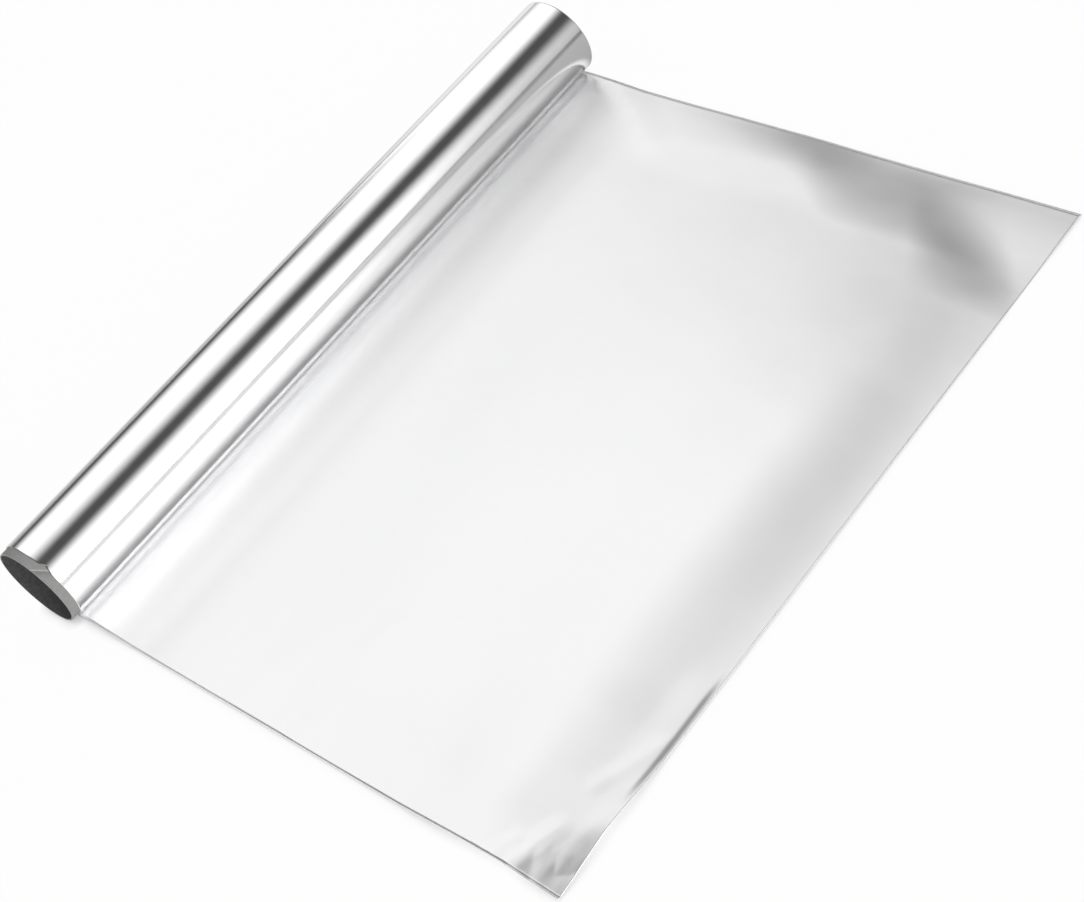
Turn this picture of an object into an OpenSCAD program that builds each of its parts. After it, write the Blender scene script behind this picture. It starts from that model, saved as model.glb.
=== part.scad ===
// Household foil roll: a spiral-wound paperboard tube, and one long sheet of aluminium foil.
// The sheet is wound round the tube and runs out from beneath the roll as a flat leaf.
// The roll lies along Y on the table plane Z = 0. The leaf runs out along +X.

/* [Core tube] */
// Outside diameter of the paperboard tube
core_d = 33.4; // [24:0.2:60]
// Wall of the tube, a few glued plies
core_wall = 0.7; // [0.4:0.1:2]
// Length of the tube
core_len = 302; // [120:1:620]
// How far the tube stands out past the near end of the foil
core_proud = 3.5; // [0.5:0.5:12]
// Distance along the tube in which the ply seam goes once round
seam_lead = 84; // [40:1:160]
// Width of the seam between two ply strips
seam_w = 0.6; // [0.3:0.1:1.5]
// Depth of the seam
seam_depth = 0.2; // [0.1:0.05:0.3]

/* [Wound foil] */
// Width of the foil, along the roll
foil_w = 300; // [150:1:600]
// Thickness of the sheet
sheet = 0.1; // [0.1:0.01:0.4]
// Air left between one turn and the next
turn_gap = 0.03; // [0.03:0.01:0.2]
// Number of turns round the tube
turns = 3; // [2:1:12]
// Clearance between the tube and the innermost turn
core_gap = 0.05; // [0.03:0.01:0.3]
// Half width of the flat spot under the roll, where the slack outer turn lies on the table
flat_half = 3; // [1:0.5:5]

/* [Leaf] */
// Distance from the roll's axis to the free edge
leaf_len = 234; // [120:1:600]
// Flat run of the leaf beside the roll, before it starts to undulate
flat_run = 26; // [20:1:60]
// Height of the leaf's body, which stands a little off the table and comes down at its edges
body_h = 2.6; // [0:0.2:8]
// Rise of that body along the free edge's far half
ridge_h = 1.6; // [0:0.2:6]
// Width of the long fold along which the body drops to the far edge
fold_w = 32; // [10:1:80]
// Height of the long swells left by the winding
swell_h = 0.2; // [0:0.05:2]
// Number of those swells between the flat run and the free edge
swells = 3.5; // [1:0.5:8]
// Height of the curl along the near half of the free edge
curl_h = 0.8; // [0:0.1:6]
// Height of the ridge that cuts off the crumpled corner at the near end of the free edge
corner_h = 1.4; // [0:0.1:6]
// Height of the sharp creases
crease_h = 0.7; // [0:0.1:3]
// Half width of the sharp creases
crease_w = 9; // [4:0.5:20]

/* [Hidden] */

core_r = core_d / 2;
bore_r = core_r - core_wall;
near_y = -foil_w / 2;

pitch = sheet + turn_gap;
roll_r = core_r + core_gap + sheet + turns * pitch;
axis_z = roll_r;

// The slack that the outer turn needs for its flat spot, all gone by slack_end degrees round.
slack_end = 120;
flat_angle = atan(flat_half / axis_z);
flat_rise = axis_z / cos(flat_angle) - axis_z + pitch * flat_angle / 360;
slack = flat_rise / pow(1 - flat_angle / slack_end, 2);

facets = 72;
step = 360 / facets;
wound_steps = floor((360 * turns - flat_angle) / step);

leaf_cols = 36;
leaf_rows = 40;
free_crowd = 0.4;
edge_crowd = 0.5;
seam_rings_per_turn = 24;
side_margin = 0.5;

// Where the leaf's forms lie. Those in u are shares of its undulating length from the flat run to
// the free edge, and those in v are shares of its width from the near edge to the far one.
body_full_u = 0.64;
body_fall_u = 0.76;
body_full_v = 0.17;
ridge_from_v = 0.27;
ridge_full_v = 0.5;
ridge_end_v = 0.57;
fold_v = 0.935;
fold_bend_v = 0.045;
fold_bend_u = 0.44;
curl_from_v = 0.1;
curl_end_v = 0.29;
corner_u = 0.78;
corner_v = 0.107;
// Share of body_h by which the body is lower beside the far fold.
far_loss = 0.77;

paperboard = "#9d968b";
foil_silver = "#d9dbde";

// Smooth step from 0 at a to 1 at b.
function fade(a, b, s) = let(k = max(0, min(1, (s - a) / (b - a)))) k * k * (3 - 2 * k);

// Round-topped ridge of unit height and half width w, at distance d from its crest.
function bump(d, w) = exp(-(d * d) / (w * w));

// Straight crease of unit height from p to q, fading out at its ends, seen at c.
function crease(c, p, q, w) =
    let(along = q - p, long = norm(along), s = (c - p) * along / (long * long))
    let(off = norm(c - p - max(0, min(1, s)) * along))
    max(0, 1 - off / w);

// Radius of the sheet's outer face after winding through angle a from the bottom of the roll.
function wound_r(a) =
    roll_r - pitch * a / 360 + (a < slack_end ? slack * pow(1 - a / slack_end, 2) : 0);

// The same radius held up by the table, h below the axis.
function seated_r(r, h, a) = a < 90 ? min(r, h / cos(a)) : r;

function outer_face(a) =
    let(r = seated_r(wound_r(a), axis_z, a)) [-r * sin(a), axis_z - r * cos(a)];
function inner_face(a) =
    let(r = seated_r(wound_r(a) - sheet, axis_z - sheet, a)) [-r * sin(a), axis_z - r * cos(a)];

// Creases in the leaf: each runs between two places given as shares of the leaf's length
// and width, then its half width and its height as shares of crease_w and crease_h.
CREASES = [
    [[0.64, 0.25], [0.73, 0.20], 0.8, 0.4],
    [[0.48, 0.00], [0.53, 0.18], 1.0, 0.5],
    [[0.38, 0.01], [0.42, 0.11], 1.0, 0.3],
    [[0.91, 0.00], [0.94, 0.06], 0.8, 1.2],
    [[0.96, 0.02], [0.99, 0.10], 0.7, 0.9],
    [[0.16, 1.00], [0.26, 0.92], 1.0, 0.4]
];

// Heights of the leaf's underside at u and v. The far fold runs along the far edge, and it bends
// out towards that edge on the roll's side of body_full_u.
function body_top(v) =
    body_h + ridge_h * fade(ridge_from_v, ridge_full_v, v)
    - far_loss * body_h * fade(ridge_end_v, fold_v, v);
function body_end(v) = 1.05 - 0.14 * fade(fold_v - fold_bend_v, fold_v, v);
function fold_bend(u) = fade(body_full_u, fold_bend_u, u);
function fold_place(u) = fold_v + fold_bend_v * fold_bend(u);
function fold_half(u) = fold_w / foil_w / 2 * (1 - 0.5 * fold_bend(u));
function body_z(u, v) =
    body_top(v) * fade(0.1, body_full_u, u) * fade(body_end(v), body_fall_u, u)
    * fade(1, -1, (v - fold_place(u)) / fold_half(u)) * fade(0, body_full_v, v);
function swell_z(u, v) =
    swell_h * fade(0.1, 0.35, u) * (1 - cos(360 * (swells * u + 0.25 * sin(300 * v)))) / 2;
function curl_z(u, v) =
    curl_h * fade(0.92, 1, u) * fade(curl_from_v, 0.16, v) * fade(curl_end_v, 0.25, v);

// How far past the line that cuts off the near corner, which bends from one edge to the other.
function past_corner(u, v) =
    let(a = (u - corner_u) / (1 - corner_u), b = 1 - v / corner_v) a + b * b - 1;
function corner_z(u, v) =
    corner_h * bump(past_corner(u, v), 0.2) * fade(corner_v, 0.07, v) * fade(0, 0.03, v);
function crease_z(c, size) =
    crease_h * max([for (k = CREASES)
        k[3] * crease(c, [k[0].x * size.x, k[0].y * size.y],
                      [k[1].x * size.x, k[1].y * size.y], k[2] * crease_w)]);
function leaf_z(u, v) =
    fade(0, 0.12, u) * (body_z(u, v) + swell_z(u, v) + curl_z(u, v) + corner_z(u, v)
                        + crease_z([u * leaf_len, v * foil_w], [leaf_len, foil_w]));

// Grid steps as shares, crowded towards the free edge and towards the two side edges.
function share_out(s) = s * (1 + free_crowd * (1 - s));
function share_across(s) = s - edge_crowd * sin(360 * s) / (2 * PI);

// The tube: plies of grey paperboard with an open bore and a spiral seam outside.
module core_tube() {
    color(paperboard)
    translate([0, near_y - core_proud, axis_z])
    rotate([-90, 0, 0])
    difference() {
        cylinder(r = core_r, h = core_len, $fn = 96);
        translate([0, 0, -1]) cylinder(r = bore_r, h = core_len + 2, $fn = 96);
        ply_seam();
    }
}

// Cutter for the seam: a thin square thread wound outside the tube's wall.
module ply_seam() {
    rings = ceil((core_len / seam_lead + 0.5) * seam_rings_per_turn);
    half = seam_w / 2;
    section = [[core_r - seam_depth, -half], [core_r + side_margin, -half],
               [core_r + side_margin, half], [core_r - seam_depth, half]];
    points = [for (i = [0 : rings], p = section)
        let(a = 360 * i / seam_rings_per_turn)
        [p.x * cos(a), p.x * sin(a), p.y + seam_lead * (a / 360 - 0.25)]];
    walls = [for (i = [0 : rings - 1], k = [0 : 3], half_quad = [0, 1])
        let(a = 4 * i + k, b = 4 * i + (k + 1) % 4)
        half_quad == 0 ? [a, b, b + 4] : [a, b + 4, a + 4]];
    polyhedron(points, concat([[3, 2, 1, 0]], walls, [[for (k = [0 : 3]) 4 * rings + k]]));
}

// The wound turns and the flat run beneath them, drawn as one strip seen from the end.
module wound_sheet() {
    outer = [for (k = [0 : wound_steps]) outer_face(flat_angle + k * step)];
    inner = [for (k = [wound_steps : -1 : 0]) inner_face(flat_angle + k * step)];
    translate([0, -near_y, 0])
    rotate([90, 0, 0])
    linear_extrude(foil_w)
    polygon(concat([[flat_run, 0]], outer, inner, [[flat_run, sheet]]));
}

// The undulating rest of the leaf, as a sheet of even thickness over a grid of heights.
module leaf() {
    across = leaf_rows + 1;
    top = (leaf_cols + 1) * across;
    grid = [for (i = [0 : leaf_cols], j = [0 : leaf_rows])
        let(u = share_out(i / leaf_cols), v = share_across(j / leaf_rows))
        [flat_run + (leaf_len - flat_run) * u, near_y + foil_w * v, leaf_z(u, v)]];
    cells = [for (i = [0 : leaf_cols - 1], j = [0 : leaf_rows - 1]) i * across + j];
    under = [for (c = cells) each [[c, c + across, c + across + 1], [c, c + across + 1, c + 1]]];
    over = [for (f = under) [top + f[2], top + f[1], top + f[0]]];
    rim = concat([for (i = [0 : leaf_cols]) i * across],
                 [for (j = [1 : leaf_rows]) leaf_cols * across + j],
                 [for (i = [leaf_cols - 1 : -1 : 0]) i * across + leaf_rows],
                 [for (j = [leaf_rows - 1 : -1 : 1]) j]);
    edges = [for (k = [0 : len(rim) - 1])
        let(a = rim[k], b = rim[(k + 1) % len(rim)])
        each [[a, top + a, top + b], [a, top + b, b]]];
    polyhedron(concat(grid, [for (p = grid) p + [0, 0, sheet]]), concat(under, over, edges));
}

module foil() {
    color(foil_silver)
    union() {
        wound_sheet();
        leaf();
    }
}

core_tube();
foil();
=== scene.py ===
"""A household roll of aluminium foil, with a leaf of it pulled out over the table."""
import math

import bpy
from mathutils import Matrix, Vector


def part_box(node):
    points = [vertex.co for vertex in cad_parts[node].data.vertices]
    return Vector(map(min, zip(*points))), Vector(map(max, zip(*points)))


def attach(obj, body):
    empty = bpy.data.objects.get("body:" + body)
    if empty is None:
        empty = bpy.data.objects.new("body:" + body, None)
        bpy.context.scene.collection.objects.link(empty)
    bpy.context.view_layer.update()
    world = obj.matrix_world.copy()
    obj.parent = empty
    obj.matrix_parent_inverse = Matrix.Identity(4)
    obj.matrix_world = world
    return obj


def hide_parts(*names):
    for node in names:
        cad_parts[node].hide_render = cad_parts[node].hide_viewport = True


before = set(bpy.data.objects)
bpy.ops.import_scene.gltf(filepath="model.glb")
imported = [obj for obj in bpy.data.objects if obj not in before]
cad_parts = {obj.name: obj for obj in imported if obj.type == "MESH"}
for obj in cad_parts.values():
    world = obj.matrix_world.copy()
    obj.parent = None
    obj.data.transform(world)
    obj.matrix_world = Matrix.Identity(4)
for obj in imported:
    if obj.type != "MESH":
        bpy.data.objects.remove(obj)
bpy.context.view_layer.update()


# The foil: one long strip of household aluminium, mirror bright on its outer face, which touched the
# polished roller, and satin on its inner face. It is wound round the tube, and its last turn runs
# out from beneath the roll as a leaf that lies on the table.
MM = 0.001
tube_low, tube_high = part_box("core_tube")
foil_low, foil_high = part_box("foil")
axis_z = (tube_low[2] + tube_high[2]) / 2
tube_r = (tube_high[2] - tube_low[2]) / 2
near_y, far_y = foil_low[1], foil_high[1]
sheet_w = far_y - near_y
leaf_len = foil_high[0]

foil_t = 0.05 * MM
wound_turns = 7
core_gap = 0.1 * MM
turn_pitch = (axis_z - tube_r - core_gap) / wound_turns
# Half width of the flat spot under the roll, and the angle by which the outer turn's slack is gone.
flat_half = 3 * MM
slack_end = math.radians(120)
ripple_h = 0.12 * MM
# The turns' near edges stand back by notch_depth between these degrees round from the roll's foot.
notch_start, notch_deepest, notch_end = 209, 220, 227
notch_depth = 1.2 * MM
notch_reach = 8 * MM

# Grid of the sheet. Its columns crowd towards the free edge and its rows towards the side edges.
leaf_columns = 160
turn_columns = 64
sheet_rows = 205
free_crowding = 0.75
edge_crowding = 0.8
inner_turn_columns = 48
inner_rows = 4

# Heights of the leaf's forms, in millimetres.
body_h = 2.6
ridge_h = 1.6
far_loss = 1.3
free_band_h = 1.9
swell_h = 0.16
corner_lift = 3.0
facet_h = 0.8
crinkle_h = 0.15
curl_h = 0.3
curl_drop = 0.4
near_edge_h = 0.5
far_edge_h = 0.7
spring_h = 1.6


class Wire:
    """An output of a node, on which Python arithmetic adds Math nodes."""

    def __init__(self, bench, socket):
        self.bench = bench
        self.socket = socket

    def math(self, operation, *others):
        return self.bench.math(operation, self, *others)

    def __add__(self, other):
        return self.math("ADD", other)

    def __radd__(self, other):
        return self.bench.math("ADD", other, self)

    def __sub__(self, other):
        return self.math("SUBTRACT", other)

    def __rsub__(self, other):
        return self.bench.math("SUBTRACT", other, self)

    def __mul__(self, other):
        return self.math("MULTIPLY", other)

    def __rmul__(self, other):
        return self.bench.math("MULTIPLY", other, self)

    def __truediv__(self, other):
        return self.math("DIVIDE", other)

    def __rtruediv__(self, other):
        return self.bench.math("DIVIDE", other, self)

    def __neg__(self):
        return self.math("MULTIPLY", -1.0)

    def fade(self, start, end):
        """0 at start and 1 at end, with a smooth step between."""
        return self.bench.node("ShaderNodeMapRange", {"interpolation_type": "SMOOTHSTEP"},
                               {0: self, 1: start, 2: end, 3: 0.0, 4: 1.0})


class Bench:
    """A node tree that hands its new nodes' outputs back as wires."""

    def __init__(self, tree):
        self.tree = tree

    def node(self, kind, settings=None, values=None, out=0):
        made = self.tree.nodes.new(kind)
        for name, value in (settings or {}).items():
            setattr(made, name, value)
        for key, value in (values or {}).items():
            if isinstance(value, Wire):
                self.tree.links.new(value.socket, made.inputs[key])
            else:
                made.inputs[key].default_value = value
        return Wire(self, made.outputs[out])

    def math(self, operation, *values):
        return self.node("ShaderNodeMath", {"operation": operation}, dict(enumerate(values)))

    def split(self, vector):
        return [self.node("ShaderNodeSeparateXYZ", {}, {0: vector}, out=k) for k in range(3)]

    def join(self, x, y, z):
        return self.node("ShaderNodeCombineXYZ", {}, {0: x, 1: y, 2: z})

    def grey(self, tone):
        return self.node("ShaderNodeCombineColor", {}, {0: tone, 1: tone, 2: tone})

    def noise(self, vector, scale, detail, rough):
        """Fractal noise centred on zero."""
        made = self.node("ShaderNodeTexNoise", {},
                         {"Vector": vector, "Scale": scale, "Detail": detail, "Roughness": rough})
        return made - 0.5

    def mix(self, factor, a, b):
        """A number between a and b."""
        return a + (b - a) * factor


def bump(distance, width):
    """Round-topped ridge of unit height at distance 0."""
    return (-(distance * distance) / (width * width)).math("EXPONENT")


def crease(x, y, start, end, width):
    """Ridge of unit height and of the given half width, along the line from start to end."""
    dx, dy = end[0] - start[0], end[1] - start[1]
    length_squared = dx * dx + dy * dy
    along = ((x - start[0]) * dx + (y - start[1]) * dy) / length_squared
    along = along.math("MAXIMUM", 0.0).math("MINIMUM", 1.0)
    off_x = x - start[0] - along * dx
    off_y = y - start[1] - along * dy
    off = (off_x * off_x + off_y * off_y).math("SQRT")
    return (1.0 - off / width).math("MAXIMUM", 0.0)


# Creases pressed in by handling: where each starts and ends, in millimetres from the roll's axis
# and from the sheet's middle, then its half width and its height.
CREASES = (
    ((150, -74), (171, -91), 2.0, 0.08),
    ((112, -150), (123, -96), 6.0, 0.20),
    ((88, -148), (98, -118), 5.0, 0.12),
    ((108, -142), (114, -120), 3.0, 0.08),
    ((206, -151), (211, -141), 3.5, 0.20),
    ((212, -152), (221, -132), 5.0, 0.22),
    ((225, -149), (231, -121), 4.0, 0.06),
    ((222, -115), (231, -92), 4.0, 0.15),
    ((24, 152), (60, 126), 9.0, 0.20),
)


def leaf_height(bench, x, y):
    """Height of the leaf's underside. Inside, x, y and every place are in millimetres."""
    x = x / MM
    y = y / MM

    # The body stands off the table. It comes down at a long fold beside the far edge, which bends
    # out to that edge on the roll's side, and along a band beside the free edge.
    fold = 132.0 + x.fade(160, 118) * 14.0
    fold_half = 20.0 - x.fade(150, 125) * 4.0
    far_fall = ((y - fold) / fold_half).fade(1.0, -1.0)
    top = body_h + y.fade(-70, 0) * ridge_h - y.fade(20, 130) * far_loss
    top = top + x.fade(150, 198) * y.fade(135, 10) * free_band_h
    far_part = y.fade(95, 142)
    body = x.fade(48, 160) * x.fade(242.0 - far_part * 28.0, 194.0 - far_part * 20.0) * top
    height = body * far_fall * y.fade(-152, -100)

    # Long swells left by the winding.
    swells = ((x / 62.0 + (y / 58.0).math("SINE") * 0.25) * math.tau).math("COSINE")
    height = height + (1.0 - swells) * (swell_h / 2) * x.fade(48, 100)

    # The near corner is lifted, and slopes down to its tip in crumpled facets.
    corner_x = (x - 188.0) / 46.0
    corner_y = (-118.0 - y) / 34.0
    beyond = corner_x + corner_y * corner_y - 1.0
    corner = beyond.fade(0.0, 0.25) * corner_y.fade(0.0, 0.15)
    facets = bench.noise(bench.join(x / 9.0, y / 14.0, 0.0), 1.0, 1.0, 0.4).math("ABSOLUTE")
    lift = x.fade(160, 205) * y.fade(-90, -130) * corner_lift
    slope = ((235.0 - x) * 0.15 + (y + 151.0) * 0.12).math("MAXIMUM", 0.0)
    height = (height + lift).math("SMOOTH_MIN", slope, 0.8) + corner * facets * facet_h

    for start, end, width, rise in CREASES:
        height = height + crease(x, y, start, end, width) * rise

    # A curl along part of the free edge, fine crinkles all over, and the sheet's turned edges.
    curl = y.fade(-62, -74) * y.fade(-118, -104)
    height = height + curl * (x.fade(220, 231) * curl_h - x.fade(231.4, 233.6) * curl_drop)
    crinkle = bench.noise(bench.join(x / 21.0, y / 21.0, 0.0), 1.0, 2.0, 0.4)
    height = height + crinkle * crinkle_h * x.fade(40, 90)
    turned_up = (y + 150.0).fade(1.3, 0.0)
    turned_down = y.fade(148.4, 150.0)
    height = height + turned_up * near_edge_h + (1.0 - turned_down) * y.fade(110, 145) * far_edge_h

    # Beside the roll the stretched sheet springs up a little before it lies down.
    springing = x.fade(2.5, 9.5) * x.fade(44, 9.5) * spring_h
    return (height.math("SMOOTH_MAX", 0.0, 0.3) * x.fade(6, 16) + springing) * MM


def wound_radius(angle):
    """Radius of the sheet's outer face after winding through angle from the roll's foot."""
    foot = math.atan(flat_half / axis_z)
    rise = axis_z / math.cos(foot) - axis_z + turn_pitch * foot / math.tau
    slack = rise / (1 - foot / slack_end) ** 2
    left = (1.0 - angle / slack_end).math("MAXIMUM", 0.0)
    return axis_z - angle * (turn_pitch / math.tau) + left * left * slack


def wound_place(bench, angle, y, ripple):
    """Point on the wound sheet, held up by the table at its foot."""
    radius = wound_radius(angle) + ripple
    held = axis_z / angle.math("COSINE").math("MAXIMUM", 0.2)
    pressed = radius.math("MINIMUM", held)
    near_foot = angle.math("LESS_THAN", math.pi / 3)
    radius = bench.mix(near_foot, radius, pressed)
    x = -(radius * angle.math("SINE"))
    z = axis_z - radius * angle.math("COSINE")
    return bench.join(x, y, z)


def notched_y(angle, y):
    """y on a wound turn, whose near edge stands back most beside one sudden step."""
    turn = angle.math("MODULO", math.tau)
    start, deepest, end = [math.radians(place) for place in (notch_start, notch_deepest, notch_end)]
    slipping = (turn - start) / (deepest - start)
    step = (end - turn) / (end - deepest)
    depth = slipping.math("MINIMUM", step).math("MAXIMUM", 0.0) * notch_depth
    return y + depth * (y - near_y).fade(notch_reach, 0.0)


def foil_tree():
    """Nodes that lay out the sheet: the leaf with the outermost turn, then the turns under it."""
    tree = bpy.data.node_groups.new("foil_sheet", "GeometryNodeTree")
    face = tree.interface
    face.new_socket("Geometry", in_out="OUTPUT", socket_type="NodeSocketGeometry")
    for name in ("Turns", "Rows"):
        face.new_socket(name, in_out="INPUT", socket_type="NodeSocketInt")
    face.new_socket("Leaf length", in_out="INPUT", socket_type="NodeSocketFloat")
    bench = Bench(tree)
    given = tree.nodes.new("NodeGroupInput")
    turns, rows, length = [Wire(bench, given.outputs[k]) for k in range(3)]

    columns = leaf_columns + turn_columns
    grid = bench.node("GeometryNodeMeshGrid", {},
                      {"Size X": 1.0, "Size Y": 1.0, "Vertices X": columns + 1, "Vertices Y": rows})
    at = bench.split(bench.node("GeometryNodeInputPosition"))
    along = at[0] + 0.5
    across = at[1] + 0.5
    crowd = (across * math.tau).math("SINE") / math.tau
    y = near_y + (across - crowd * edge_crowding) * sheet_w
    share = leaf_columns / columns
    on_leaf = (along / share).math("MINIMUM", 1.0)
    x = length * (1.0 - on_leaf * (1 - free_crowding) - on_leaf * on_leaf * free_crowding)
    angle = ((along - share) / (1.0 - share)).math("MAXIMUM", 0.0) * math.tau
    streaks = bench.noise(bench.join(angle * 1.6, y * 2.0, 0.0), 2.2, 2.0, 0.5)
    ripple = streaks * ripple_h * angle.fade(0.3, 1.2)
    rolled = wound_place(bench, angle, notched_y(angle, y), ripple)
    flat = bench.join(x, y, leaf_height(bench, x, y))
    is_leaf = along.math("LESS_THAN", share)
    place = bench.node("ShaderNodeMix", {"data_type": "VECTOR"},
                       {0: is_leaf, 4: rolled, 5: flat}, out=1)
    outer = bench.node("GeometryNodeSetPosition", {}, {"Geometry": grid, "Position": place})

    inner_turns = turns - 1.0
    inner_grid = bench.node("GeometryNodeMeshGrid", {},
                            {"Size X": 1.0, "Size Y": 1.0,
                             "Vertices X": inner_turns * inner_turn_columns + 1.0,
                             "Vertices Y": inner_rows})
    inner_angle = along * inner_turns * math.tau + math.tau
    inner_y = near_y + across * sheet_w
    inner_place = wound_place(bench, inner_angle, notched_y(inner_angle, inner_y), 0.0)
    inner = bench.node("GeometryNodeSetPosition", {},
                       {"Geometry": inner_grid, "Position": inner_place})
    both = tree.nodes.new("GeometryNodeJoinGeometry")
    for part in (inner, outer):
        tree.links.new(part.socket, both.inputs[0])
    smooth = bench.node("GeometryNodeSetShadeSmooth", {}, {"Geometry": Wire(bench, both.outputs[0])})
    real = bench.node("GeometryNodeRealizeInstances", {}, {0: smooth})
    done = bench.node("GeometryNodeSetMaterial", {}, {"Geometry": real, "Material": bright_side})
    tree.links.new(done.socket, tree.nodes.new("NodeGroupOutput").inputs[0])
    return tree


def new_material(name):
    """A material with its Principled shader, and a bench for its nodes."""
    material = bpy.data.materials.new(name)
    material.use_nodes = True
    return material, material.node_tree.nodes["Principled BSDF"], Bench(material.node_tree)


def foil_finish(name, mirror, metal, rough, edge_tint, line_depth, taut_and_painted_light=None):
    """Rolled aluminium: faint rolling lines along the sheet, over a soft mottle.

    Beside the roll the last argument gives its mirror, metal and rough: real metal and roughness,
    and a paler mirror that is painted light on the strip the roll shades.
    """
    material, shader, bench = new_material(name)
    place = bench.node("ShaderNodeTexCoord", {}, {}, out=3)
    x, y, z = bench.split(place)
    lines = bench.noise(bench.join(x * 8.0, y * 260.0, z * 8.0), 1.0, 1.0, 0.4)
    mottle = bench.noise(place, 90.0, 2.0, 0.5)
    shader.inputs["Metallic"].default_value = metal
    shader.inputs["Specular Tint"].default_value = (edge_tint, edge_tint, edge_tint, 1)
    if taut_and_painted_light:
        beside = x.fade(48 * MM, 36 * MM)
        # Beside the roll the mirror rises to the value given there. That rise is painted light on
        # the strip of leaf in the roll's shade; the metal and roughness there are real.
        mirror, metalness, rough = [bench.mix(beside, loose, tight_and_painted_light)
                                    for loose, tight_and_painted_light in zip((mirror, metal, rough), taut_and_painted_light)]
        bench.tree.links.new(metalness.socket, shader.inputs["Metallic"])
        rough = rough + x.fade(13 * MM, 20 * MM) * beside * 0.12
    bright = mirror + lines * 0.01 + mottle * 0.03
    colour = bench.node("ShaderNodeCombineColor", {}, {0: bright, 1: bright, 2: bright * 1.004})
    bench.tree.links.new(colour.socket, shader.inputs["Base Color"])
    roughness = rough + lines * 0.03 + mottle * 0.06
    bench.tree.links.new(roughness.socket, shader.inputs["Roughness"])
    grain = bench.node("ShaderNodeBump", {},
                       {"Strength": line_depth, "Distance": 0.1 * MM, "Height": lines})
    bench.tree.links.new(grain.socket, shader.inputs["Normal"])
    return material


bright_side = foil_finish("foil_bright_side", mirror=0.975, metal=1.0, rough=0.14,
                          edge_tint=0.8, line_depth=0.05)
# Beside the roll the satin side's mirror of 0.99 is painted light; its metal and roughness there are
# real.
satin_side = foil_finish("foil_satin_side", mirror=0.89, metal=0.77, rough=0.30,
                         edge_tint=0.9, line_depth=0.06, taut_and_painted_light=(0.99, 1.0, 0.32))


def grown_mesh(name, tree, sizes):
    """Plain mesh object grown by a node tree from named sizes."""
    seed = bpy.data.objects.new(name + "_seed", bpy.data.meshes.new(name + "_seed"))
    bpy.context.scene.collection.objects.link(seed)
    modifier = seed.modifiers.new(name, "NODES")
    modifier.node_group = tree
    for item in tree.interface.items_tree:
        if item.in_out == "INPUT":
            modifier[item.identifier] = sizes[item.name]
    ready = seed.evaluated_get(bpy.context.evaluated_depsgraph_get())
    mesh = bpy.data.meshes.new_from_object(ready)
    bpy.data.objects.remove(seed)
    grown = bpy.data.objects.new(name, mesh)
    mesh.name = name
    bpy.context.scene.collection.objects.link(grown)
    return grown


foil = grown_mesh("foil_sheet", foil_tree(),
                  {"Turns": wound_turns, "Rows": sheet_rows + 1, "Leaf length": leaf_len})
foil.data.materials.clear()
foil.data.materials.append(bright_side)
foil.data.materials.append(satin_side)
wall = foil.modifiers.new("thickness", "SOLIDIFY")
wall.thickness = foil_t
wall.offset = -1
wall.use_rim = True
wall.material_offset = 1
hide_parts("foil")
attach(foil, "root")


# The core tube: grey paperboard, two or three plies wound on a slant and glued, then sawn to length.
# It is loose in the foil by a hair, and its near end stands a few millimetres out.
board_wall = 0.7 * MM
bore_r = tube_r - board_wall
# Degrees round from +X at which the ply seam meets the near end, and the millimetres along the tube
# in which it goes once round.
seam_start = 62.5
seam_lead = 84


def board_finish():
    """Fibrous grey board, paler where it is sawn and along the ply seam, with a painted shadow
    beside the seam and painted shade in the bore.
    """
    material, shader, bench = new_material("grey_paperboard")
    place = bench.node("ShaderNodeTexCoord", {}, {}, out=3)
    fibres = bench.noise(place, 900.0, 4.0, 0.6)
    cloud = bench.noise(place, 120.0, 2.0, 0.5)
    x, y, z = bench.split(place)
    across = z - axis_z
    radius = (x * x + across * across).math("SQRT")
    outside = radius.fade(bore_r + 0.05 * MM, bore_r + 0.3 * MM)
    cut = y.fade(tube_low[1] + 0.1 * MM, tube_low[1])

    from_end = (y - tube_low[1]) / MM
    seam_at = seam_start - from_end * (360 / seam_lead)
    past_seam = across.math("ARCTAN2", x) * (180 / math.pi) - seam_at
    seam = outside * bump(past_seam, 1.2)
    # A painted shadow darkens a band of board beside the seam, on its lower-angle side.
    shade = outside * past_seam.fade(-14.0, -3.0) * past_seam.fade(0.5, -1.0)
    # The bore's tone of 0.12 is painted shade: the inside of the tube is the same board, dark only
    # where light does not reach.
    tone = bench.mix(outside, 0.12, 0.37 + cut * 0.16) + fibres * 0.14 + cloud * 0.05
    tone = tone + seam * 0.25 - shade * 0.07
    colour = bench.node("ShaderNodeCombineColor", {}, {0: tone, 1: tone * 0.995, 2: tone * 0.985})
    bench.tree.links.new(colour.socket, shader.inputs["Base Color"])
    shader.inputs["Roughness"].default_value = 0.85
    raised = bench.node("ShaderNodeBump", {},
                        {"Strength": 0.3, "Distance": 0.2 * MM, "Height": fibres})
    bench.tree.links.new(raised.socket, shader.inputs["Normal"])
    return material


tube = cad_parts["core_tube"]
tube.data.materials.clear()
tube.data.materials.append(board_finish())


# The studio: a pale table, a long soft lamp on each side of the roll with a dark gap overhead, and
# a camera that looks down across the leaf. Its sizes are in metres, but the camera's lens and the
# width of its film are in millimetres.
camera_at = Vector((0.5538, -0.2945, 0.5274))
camera_aim = Vector((0.1195, -0.0166, 0.0))
camera_roll = math.radians(-25.0)
camera_lens = 70.95
film_width = 36
nearest_seen = 0.01
lamp_far = 2.0
table_half = 4
table_drop = 0.0001
contact_reach = 0.004


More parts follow.
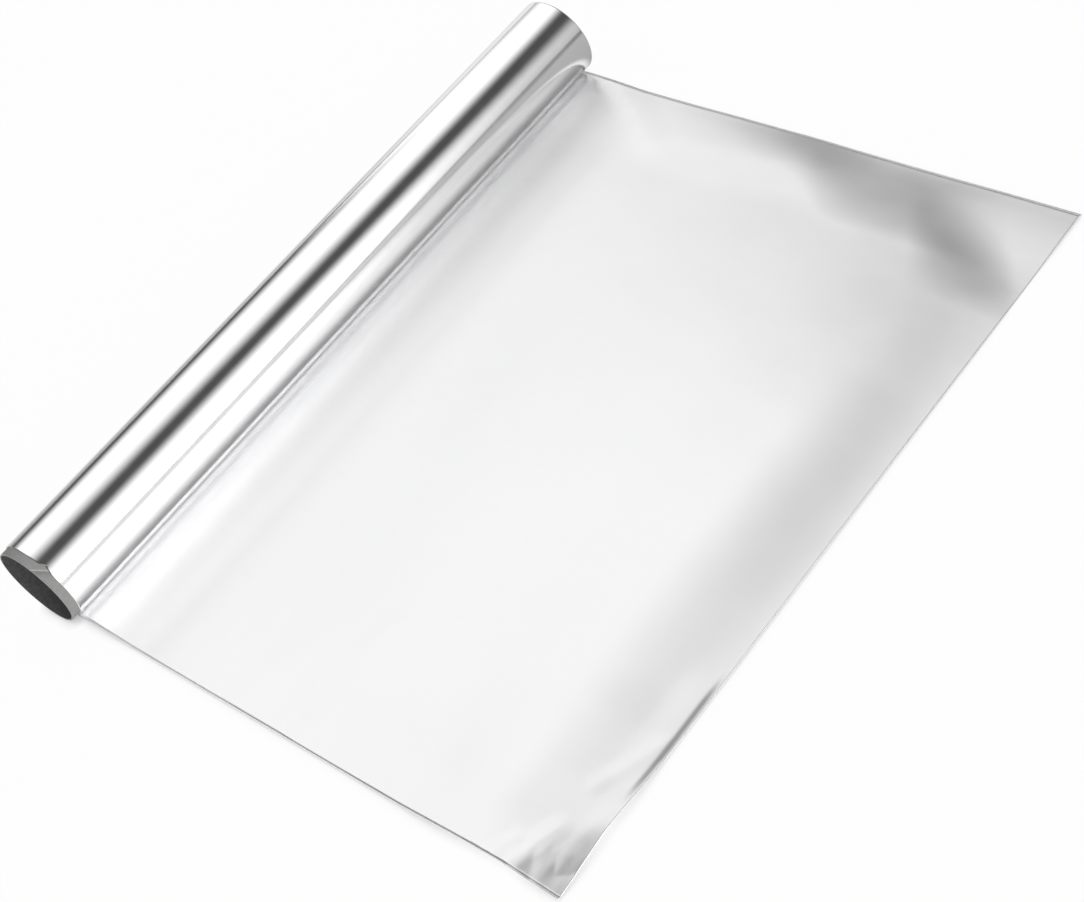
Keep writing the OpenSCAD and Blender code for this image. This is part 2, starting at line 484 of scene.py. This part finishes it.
def soft_lamp(name, lowest, highest, near_end, far_end, light_of):
    """Long lamp beside the roll: its heights are degrees round from +X, its ends metres along it.

    light_of gives its brightness from the shares across it and along it.
    """
    middle = math.radians((lowest + highest) / 2)
    half = math.radians(abs(highest - lowest) / 2)
    light = bpy.data.lights.new(name, "AREA")
    light.shape = "RECTANGLE"
    light.size = 2 * lamp_far * math.tan(half)
    light.size_y = far_end - near_end
    # This power gives a plain brightness of 1.
    light.energy = math.pi * light.size * light.size_y
    light.use_nodes = True
    bench = Bench(light.node_tree)
    across, along, _ = bench.split(bench.node("ShaderNodeNewGeometry", {}, {}, out=5))
    bench.tree.links.new(light_of(bench, across, along).socket,
                         light.node_tree.nodes["Emission"].inputs["Strength"])
    lamp = bpy.data.objects.new(name, light)
    out = Vector((math.cos(middle), 0, math.sin(middle)))
    side = Vector((0, 1, 0)).cross(out)
    turn = Matrix((side, (0, 1, 0), out)).transposed()
    place = out * lamp_far + Vector((0, (near_end + far_end) / 2, 0))
    lamp.matrix_world = Matrix.Translation(place) @ turn.to_4x4()
    bpy.context.scene.collection.objects.link(lamp)


def behind_light(bench, across, along):
    """Slow edge overhead, which slants along the roll, and a low edge that opens at the far end."""
    low_edge = bench.mix(along.fade(0.80, 0.83), across.fade(0.0, 0.42), 1.0)
    overhead = (across - (along - 0.72) * 0.5).fade(0.97, 0.55)
    ends = along.fade(0.0, 0.1) * along.fade(1.0, 0.825)
    return low_edge * overhead * ends * 1.17


def before_light(bench, across, along):
    """Soft edge overhead, strongest low down beside the near end, and weaker past the far end."""
    overhead = (across - along.fade(0.63, 0.70) * 0.11).fade(0.04, 0.54)
    level = bench.mix(along.fade(0.62, 0.74), 1.2, 0.42)
    low_down = across.fade(0.55, 0.75) * along.fade(0.66, 0.60) * 2.0
    return overhead * (level + low_down) * across.fade(1.0, 0.94) * along.fade(0.0, 0.1)


soft_lamp("lamp_behind", lowest=75, highest=169, near_end=-3.0, far_end=2.15, light_of=behind_light)
soft_lamp("lamp_before", lowest=9, highest=68, near_end=-3.0, far_end=3.0, light_of=before_light)

floor_mesh = bpy.data.meshes.new("table")
floor_corners = [(x * table_half, y * table_half, -table_drop)
                 for x, y in ((-1, -1), (1, -1), (1, 1), (-1, 1))]
floor_mesh.from_pydata(floor_corners, [], [(0, 1, 2, 3)])
floor = bpy.data.objects.new("table", floor_mesh)
bpy.context.scene.collection.objects.link(floor)


def floor_finish():
    """White to the camera except in the contact shadow, and darker where the foil mirrors it."""
    material, shader, bench = new_material("white_table")
    shader.inputs["Roughness"].default_value = 0.9
    to_camera, glossy, through = [bench.node("ShaderNodeLightPath", {}, {}, out=name)
                                  for name in ("Is Camera Ray", "Is Glossy Ray",
                                               "Is Transmission Ray")]
    x, y, _ = bench.split(bench.node("ShaderNodeTexCoord", {}, {}, out=3))
    behind = bench.mix(x.fade(-0.05, -0.18), 1.0, bench.mix(y.fade(0.10, 0.20), 0.35, 1.0))
    before = bench.mix(y.fade(0.150, 0.156), 1.0, 0.30)
    mirrored = bench.mix(x.fade(-0.01, 0.01), behind, before)
    base = bench.grey(to_camera.math("MAXIMUM", mirrored) * 0.95)
    bench.tree.links.new(base.socket, shader.inputs["Base Color"])
    open_air = bench.node("ShaderNodeAmbientOcclusion", {"samples": 8},
                          {"Distance": contact_reach}, out="AO")
    seen = to_camera.math("MAXIMUM", glossy * mirrored).math("MAXIMUM", through)
    glow = bench.node("ShaderNodeEmission", {}, {"Color": (1, 1, 1, 1), "Strength": 1.0})
    plain = Wire(bench, shader.outputs[0])
    mixed = bench.node("ShaderNodeMixShader", {}, {0: seen * open_air * 0.97, 1: plain, 2: glow})
    bench.tree.links.new(mixed.socket, bench.tree.nodes["Material Output"].inputs[0])
    return material


floor.data.materials.append(floor_finish())

# The room round the table: dark overhead, with a pale horizon that changes along the roll.
world = bpy.data.worlds.new("studio")
bpy.context.scene.world = world
world.use_nodes = True
sky = Bench(world.node_tree)
side, along, up = sky.split(sky.node("ShaderNodeTexCoord", {}, {}, out=0))
horizon_behind = sky.mix(along.fade(0.36, 0.46), 0.15, 0.95)
horizon_before = sky.mix(along.fade(0.34, 0.54), 0.75, 0.20)
horizon = sky.mix(side.fade(-0.1, 0.1), horizon_behind, horizon_before)
room = sky.grey(sky.mix(up.fade(0.20, 0.06), 0.07, horizon))
world.node_tree.links.new(room.socket, world.node_tree.nodes["Background"].inputs[0])

camera = bpy.data.cameras.new("camera")
camera.lens = camera_lens
camera.sensor_width = film_width
camera.clip_start = nearest_seen
eye = bpy.data.objects.new("camera", camera)
view = (camera_aim - camera_at).to_track_quat("-Z", "Y").to_matrix()
view = view @ Matrix.Rotation(camera_roll, 3, "Z")
eye.matrix_world = Matrix.Translation(camera_at) @ view.to_4x4()
bpy.context.scene.collection.objects.link(eye)
bpy.context.scene.camera = eye
bpy.context.scene.view_settings.view_transform = "Standard"
bpy.context.scene.cycles.glossy_bounces = 12
